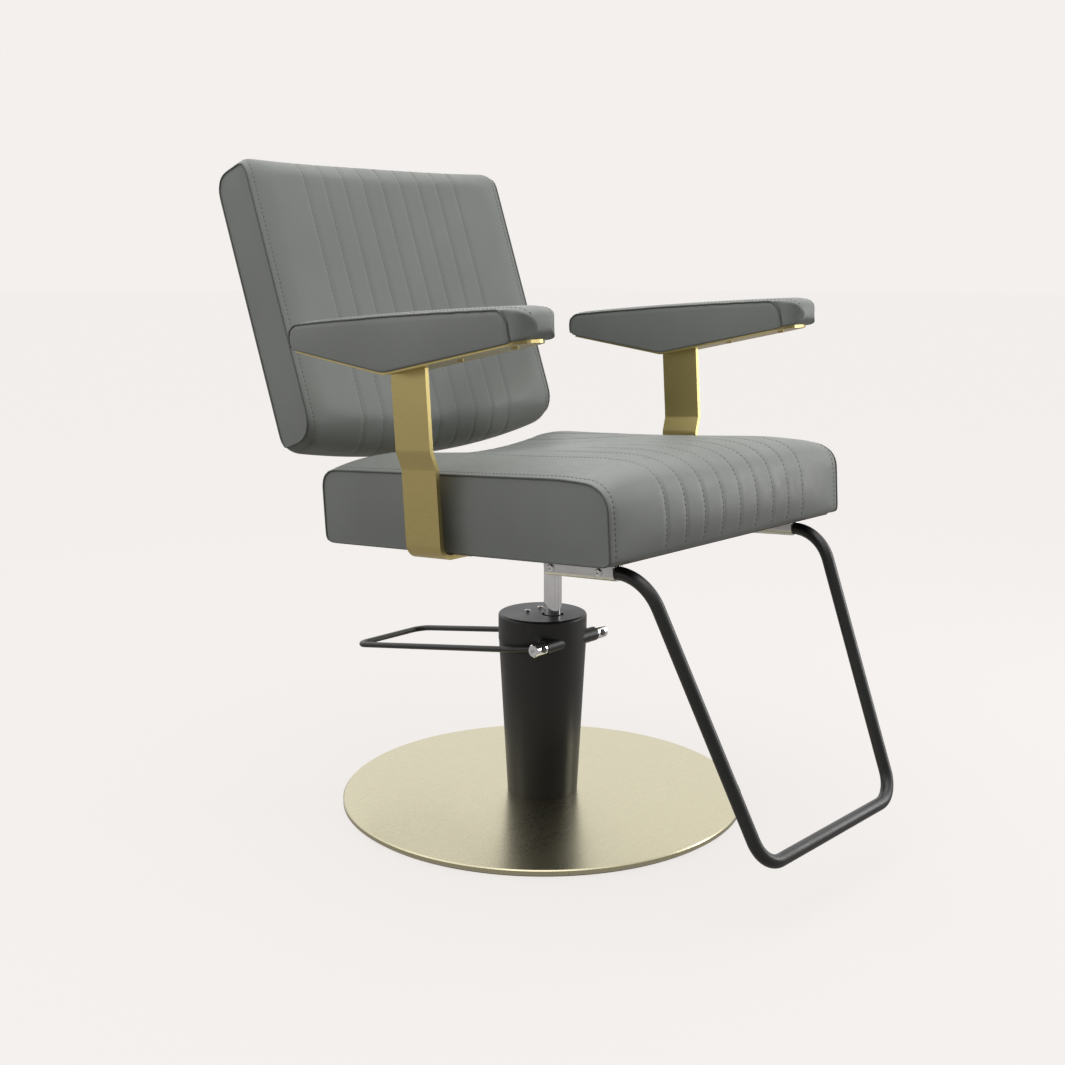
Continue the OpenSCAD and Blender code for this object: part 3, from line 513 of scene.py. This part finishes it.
def rest_on(obj, place, material):
    """Move a finished piece from its cushion's own frame to its place, shade it, and let it ride."""
    obj.data.transform(place)
    obj.data.shade_smooth()
    obj.data.materials.clear()
    obj.data.materials.append(material)
    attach(obj, "chair")


def spaced(half, count):
    """count steps from -half to half."""
    return [half * (2 * i / count - 1) for i in range(count + 1)]


def groove(distance, width, depth):
    """Depth of a sewn crease at a distance from its line."""
    return depth * math.exp(-(distance / width) ** 2)


def channel_lines(pitch):
    return [pitch * (k - (CHANNELS - 1) / 2) for k in range(CHANNELS)]


def channel_depth(x, lines, depth):
    """How deep the sewn channels are at x."""
    if abs(x) > lines[-1] + 0.02:
        return 0.0
    return groove(min(abs(x - line) for line in lines), CHANNEL_W, depth)


def edge_crease(x, half):
    return groove(half - abs(x), SEAM_W, SEAM_DEPTH)


def inset_crease(x, half):
    return groove(half - SEAM_INSET - abs(x), 0.5 * SEAM_W, 0.5 * SEAM_DEPTH)


def seam_test(pad, edges, steps):
    """A function that tells whether a point is on one of a boxed pad's two side seams."""
    loop = sum(len(edge) - 1 for edge in edges)
    ids = [*range(loop), *range(steps * loop, (steps + 1) * loop)]
    places = {tuple(round(c, 5) for c in pad.data.vertices[i].co) for i in ids}
    return lambda p: tuple(round(c, 5) for c in p) in places


# ---------------------------------------------------------------- seat cushion
def seat_cushion():
    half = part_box("seat_cover")[1].x - 0.006
    front, back, height = -0.318, 0.199, 0.104
    underside = 0.0003
    steps = 40
    pitch = 3 * 2 * half / steps
    bolster = 0.175
    crown = 0.011

    edges = rounded_edges(
        [((back, underside), 0.008), ((front, underside), 0.005),
         ((front, height), 0.032), ((back, height), 0.024)], (44, 11, 44, 11))

    def shape(x, y, z):
        """Bolsters at the sides, a dish at the rear, and soft faces all round."""
        side = abs(x)
        middle = mix(-0.007, 0.012, smooth(0.16, -0.20, y))
        if side < bolster:
            rise = mix(middle, crown, (side / bolster) ** 2.4)
        else:
            rise = crown * (1 - ((side - bolster) / (half - bolster)) ** 2.2)
        upper = smooth(0.045, height, z)
        z += rise * upper - 0.005 * upper * smooth(-0.23, front, y)
        bow = 1 - (x / half) ** 2
        if y < 0:
            y -= 0.004 * bow * smooth(-0.25, front, y)
        return Vector((x, y, z))

    pad = box_pad("seat form", edges, spaced(half, steps), shape)
    is_seam = seam_test(pad, edges, steps)
    inflate(pad, lambda p: is_seam(p) or p.z < underside + 0.001, 4.0, 0.009)
    pad = subdivided(pad, "seat_cushion", 2, lambda a, b: 1.0 if is_seam(a) and is_seam(b) else 0.0)
    lines = channel_lines(pitch)

    def depth_at(p, normal):
        depth = edge_crease(p.x, half) + inset_crease(p.x, half)
        if normal.z > 0.35 or normal.y < -0.35:
            depth += channel_depth(p.x, lines, 0.0009) * smooth(0.008, 0.02, p.z)
        return depth

    carve(pad, depth_at)
    surface = surface_of(pad)

    def row(x):
        """Up the front, clear of its lower edge, and over the top."""
        chain = resampled(edges[1] + edges[2][1:], 150)[3:]
        return on_surface(surface, [shape(x, *p) for p in chain], STITCH_LIFT)

    def seam(x):
        return on_surface(surface, [shape(x, *p) for edge in edges for p in resampled(edge, 60)[:-1]])

    rest_on(pad, SEAT, leatherette)
    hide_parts("seat_cover", "seat_foam")
    rest_on(welts("seat_welts", [seam(-half), seam(half)], True), SEAT, welt)
    sides = [SEAM_INSET - half, half - SEAM_INSET]
    rest_on(stitches("seat_stitches", [row(x) for x in lines + sides]), SEAT, thread)


# ---------------------------------------------------------------- back cushion
def back_cushion():
    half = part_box("back_cover")[1].x - 0.004
    depth_y, length = -0.0735, 0.425
    rear = -0.0015
    steps = 40
    pitch = 3 * 2 * half / steps
    bow_low, bow_top = 0.025, 0.005
    corner_low, corner_top = 0.014, 0.016

    edges = rounded_edges(
        [((rear, 0), 0.010), ((depth_y, 0), 0.034),
         ((depth_y, length), 0.013), ((rear, length), 0.026)], (8, 36, 8, 36))

    def corner_drop(side, radius):
        u = (side - (half - radius)) / radius
        return 0 if u <= 0 else radius * (1 - math.sqrt(max(0, 1 - min(u, 1) ** 2))) * 0.55

    def shape(x, y, z):
        """Bowed lower and upper edges, round corners, and a front that wraps the sitter."""
        bow = 1 - (x / half) ** 2
        low = 1 - smooth(0, 0.16, z)
        high = smooth(length - 0.12, length, z)
        z += low * (corner_drop(abs(x), corner_low) - bow_low * bow)
        z += high * (bow_top * bow - corner_drop(abs(x), corner_top))
        ahead = smooth(rear, depth_y, y)
        y += ahead * 0.007 * bow
        return Vector((x, y, z))

    pad = box_pad("back form", edges, spaced(half, steps), shape)
    is_seam = seam_test(pad, edges, steps)
    inflate(pad, lambda p: is_seam(p) or p.y > rear - 0.001, 4.0, 0.006)
    pad = subdivided(pad, "back_cushion", 2, lambda a, b: 1.0 if is_seam(a) and is_seam(b) else 0.0)
    lines = channel_lines(pitch)

    def depth_at(p, normal):
        on_front = smooth(-0.012, -0.03, p.y)
        depth = edge_crease(p.x, half) + inset_crease(p.x, half) * on_front
        if normal.y < -0.2 or abs(normal.z) > 0.6:
            depth += channel_depth(p.x, lines, 0.0012) * on_front
        return depth

    carve(pad, depth_at)
    surface = surface_of(pad)

    def row(x):
        """Up the front and a little over both ends."""
        chain = resampled(edges[0][4:] + edges[1][1:] + edges[2][1:5], 140)
        return on_surface(surface, [shape(x, *p) for p in chain], STITCH_LIFT)

    def seam(x):
        return on_surface(surface, [shape(x, *p) for edge in edges for p in resampled(edge, 50)[:-1]])

    rest_on(pad, BACK, leatherette)
    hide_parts("back_cover", "back_foam")
    rest_on(welts("back_welts", [seam(-half), seam(half)], True), BACK, welt)
    sides = [SEAM_INSET - half, half - SEAM_INSET]
    rest_on(stitches("back_stitches", [row(x) for x in lines + sides]), BACK, thread)


# ---------------------------------------------------------------- arm pads
def arm_pad(side):
    lo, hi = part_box("arm_pad_" + side)
    middle, half = (lo.x + hi.x) / 2, (hi.x - lo.x) / 2 - 0.003
    steps = 8
    rear, vee_y, nose = 0.172, -0.010, -0.261
    rear_slope, front_slope = 0.1967, 0.1352
    low_gap = 0.0004
    top = 0.0655
    nose_seam, nose_round = -0.236, -0.238

    corners = [((rear, 0.036), 0.006), ((vee_y, low_gap), 0), ((-0.242, 0.0312 + low_gap), 0),
               ((nose, 0.0335), 0.0112), ((nose, top), 0.020), ((rear, top), 0.015)]
    edges = rounded_edges(corners, (44, 5, 44, 5))

    def shape(x, y, z):
        """Crowned top, sides that lap the plate's edges, and a nose rounded in plan."""
        across = 1 - (x / half) ** 2
        along = 1 - ((y + 0.06) / 0.25) ** 2
        upper = smooth(0.035, top, z)
        z += upper * (0.004 * across + 0.004 * max(along, 0))
        z -= 0.002 * (1 - upper) * smooth(0.75, 1, abs(x) / half)
        corner = min(max((nose_round - y) / (nose_round - nose), 0), 1)
        edge = half - 0.023 * (1 - math.sqrt(max(1 - 0.97 * corner ** 2, 0)))
        return Vector((x * edge / half, y, z + ARM_Z))

    pad = box_pad("arm form", edges, spaced(half, steps), shape)
    is_seam = seam_test(pad, edges, steps)

    def low_edge(p):
        slope = rear_slope if p.y > vee_y else -front_slope
        return p.z < ARM_Z + slope * (p.y - vee_y) + 0.0015

    inflate(pad, lambda p: is_seam(p) or low_edge(p), 3.0, 0.0035)

    def crease(a, b):
        if not (is_seam(a) and is_seam(b)):
            return 0.0
        return mix(0.9, 0.0, smooth(nose_seam + 0.015, nose_seam - 0.005, (a.y + b.y) / 2))

    pad = subdivided(pad, "arm_cushion_" + side, 2, crease)
    surface = surface_of(pad)

    # The welt follows the side panel: up its rear end, along the top, then down behind the nose
    turn_r = 0.022
    upper_chain = [p for p in reversed(resampled(edges[2], 90) + resampled(edges[3], 20))
                   if p.x > nose_seam + turn_r]
    centre = Vector((upper_chain[-1].x, upper_chain[-1].y - turn_r))
    for k in range(1, 9):
        angle = math.pi / 2 * k / 8
        upper_chain.append(centre + turn_r * Vector((-math.sin(angle), math.cos(angle))))
    tail = upper_chain[-1]
    for k in range(1, 7):
        upper_chain.append(Vector((tail.x - 0.0003 * k, mix(tail.y, 0.0325, k / 6))))
    seams = [on_surface(surface, [shape(x, *p) for p in upper_chain]) for x in (-half, half)]
    near = dense_points(seams)

    def depth_at(p, normal):
        return groove(near.find(p)[2], 0.0035, SEAM_DEPTH)

    carve(pad, depth_at)
    surface = surface_of(pad)
    seams = [on_surface(surface, seam, 0.0004) for seam in seams]

    def row(x):
        return on_surface(surface, [shape(x, *p) for p in resampled(edges[2], 110)], STITCH_LIFT)

    place = SEAT @ Matrix.Translation((middle, 0, 0))
    rest_on(pad, place, leatherette)
    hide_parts("arm_pad_" + side)
    rest_on(welts("arm_welts_" + side, seams, False), place, welt)
    rest_on(stitches("arm_stitches_" + side, [row(0.009 - half), row(half - 0.009)]), place, thread)


seat_cushion()
back_cushion()
arm_pad("left")
arm_pad("right")


# ---------------------------------------------------------------- stage
PAPER = (0.905, 0.871, 0.847)


def paper_floor():
    """Pale floor as bright as the backdrop, with a trace of shadow; it throws little light back."""
    bpy.ops.mesh.primitive_plane_add(size=80)
    floor = bpy.context.object
    floor.name = "floor"
    mat = bpy.data.materials.new("studio floor")
    mat.use_nodes = True
    tree = mat.node_tree
    tree.nodes.remove(tree.nodes["Principled BSDF"])
    shadowed = add_node(tree, "ShaderNodeBsdfDiffuse", {"Color": (0.090, 0.088, 0.086, 1)})
    glow = add_node(tree, "ShaderNodeEmission", {"Color": (*PAPER, 1), "Strength": 0.86})
    seen = add_node(tree, "ShaderNodeAddShader", {0: shadowed.outputs[0], 1: glow.outputs[0]})
    dim = add_node(tree, "ShaderNodeBsdfDiffuse", {"Color": (0.13, 0.125, 0.12, 1)})
    bright = add_node(tree, "ShaderNodeEmission", {"Color": (*PAPER, 1), "Strength": 0.45})
    path = add_node(tree, "ShaderNodeLightPath")
    thrown = add_node(tree, "ShaderNodeMixShader", {0: path.outputs["Is Glossy Ray"], 1: dim.outputs[0],
                                                    2: bright.outputs[0]})
    both = add_node(tree, "ShaderNodeMixShader", {0: path.outputs["Is Camera Ray"], 1: thrown.outputs[0],
                                                  2: seen.outputs[0]})
    tree.links.new(both.outputs[0], tree.nodes["Material Output"].inputs["Surface"])
    floor.data.materials.append(mat)


def soft_sky():
    """Soft light, strongest from above and weakest from the front left; the backdrop stays plain."""
    world = bpy.data.worlds.new("studio")
    bpy.context.scene.world = world
    world.use_nodes = True
    tree = world.node_tree
    ways = add_node(tree, "ShaderNodeTexCoord")
    parts = add_node(tree, "ShaderNodeSeparateXYZ", {0: ways.outputs["Generated"]})
    height = add_node(tree, "ShaderNodeMapRange", {"Value": parts.outputs["Z"], "From Min": -1.0})
    ramp = add_node(tree, "ShaderNodeValToRGB", {"Fac": height.outputs[0]})
    stops = ramp.color_ramp.elements
    levels = ((0.0, 0.04), (0.485, 0.06), (0.51, 0.36), (0.60, 0.42), (0.78, 0.50), (1.0, 0.90))
    while len(stops) < len(levels):
        stops.new(0.5)
    for stop, (place, level) in zip(stops, levels):
        stop.position = place
        stop.color = (level, level, level, 1)
    aside = add_node(tree, "ShaderNodeMath", {0: parts.outputs["X"], 1: 0.5, 2: parts.outputs["Y"]},
                     operation="MULTIPLY_ADD")
    front = add_node(tree, "ShaderNodeMapRange", {"Value": aside.outputs[0], "From Min": -0.9,
                                                  "From Max": 0.25, "To Min": 0.5, "To Max": 2.6})
    light = add_node(tree, "ShaderNodeBackground", {"Color": ramp.outputs[0], "Strength": front.outputs[0]})
    backdrop = add_node(tree, "ShaderNodeBackground", {"Color": (*PAPER, 1), "Strength": 1.0})
    path = add_node(tree, "ShaderNodeLightPath")
    both = add_node(tree, "ShaderNodeMixShader", {0: path.outputs["Is Camera Ray"], 1: light.outputs[0],
                                                  2: backdrop.outputs[0]})
    tree.links.new(both.outputs[0], tree.nodes["World Output"].inputs["Surface"])


def soft_box(name, place, target, size, power):
    data = bpy.data.lights.new(name, "AREA")
    data.shape = "RECTANGLE"
    data.size, data.size_y = size
    data.energy = power
    lamp = new_object(name, data)
    lamp.location = place
    lamp.rotation_euler = (Vector(target) - Vector(place)).to_track_quat("-Z", "Y").to_euler()
    lamp.visible_camera = False


def studio():
    paper_floor()
    soft_sky()
    soft_box("top light", (-0.5, -0.6, 2.8), (0, 0, 0.5), (2.2, 2.2), 22)
    soft_box("right strip", (1.45, -1.25, 0.85), (0.3, -0.3, 0.5), (0.4, 1.2), 11)
    soft_box("left box", (-1.8, 1.25, 1.2), (-0.3, 0, 0.6), (0.6, 0.8), 2.5)
    data = bpy.data.cameras.new("camera")
    data.lens = 47.54
    data.sensor_width = 36
    camera = new_object("camera", data)
    camera.location = (-1.5163, -1.3472, 0.7869)
    camera.rotation_euler = (math.radians(90 - 10.674), 0, math.radians(-47.957))
    bpy.context.scene.camera = camera
    bpy.context.scene.view_settings.view_transform = "Standard"


studio()
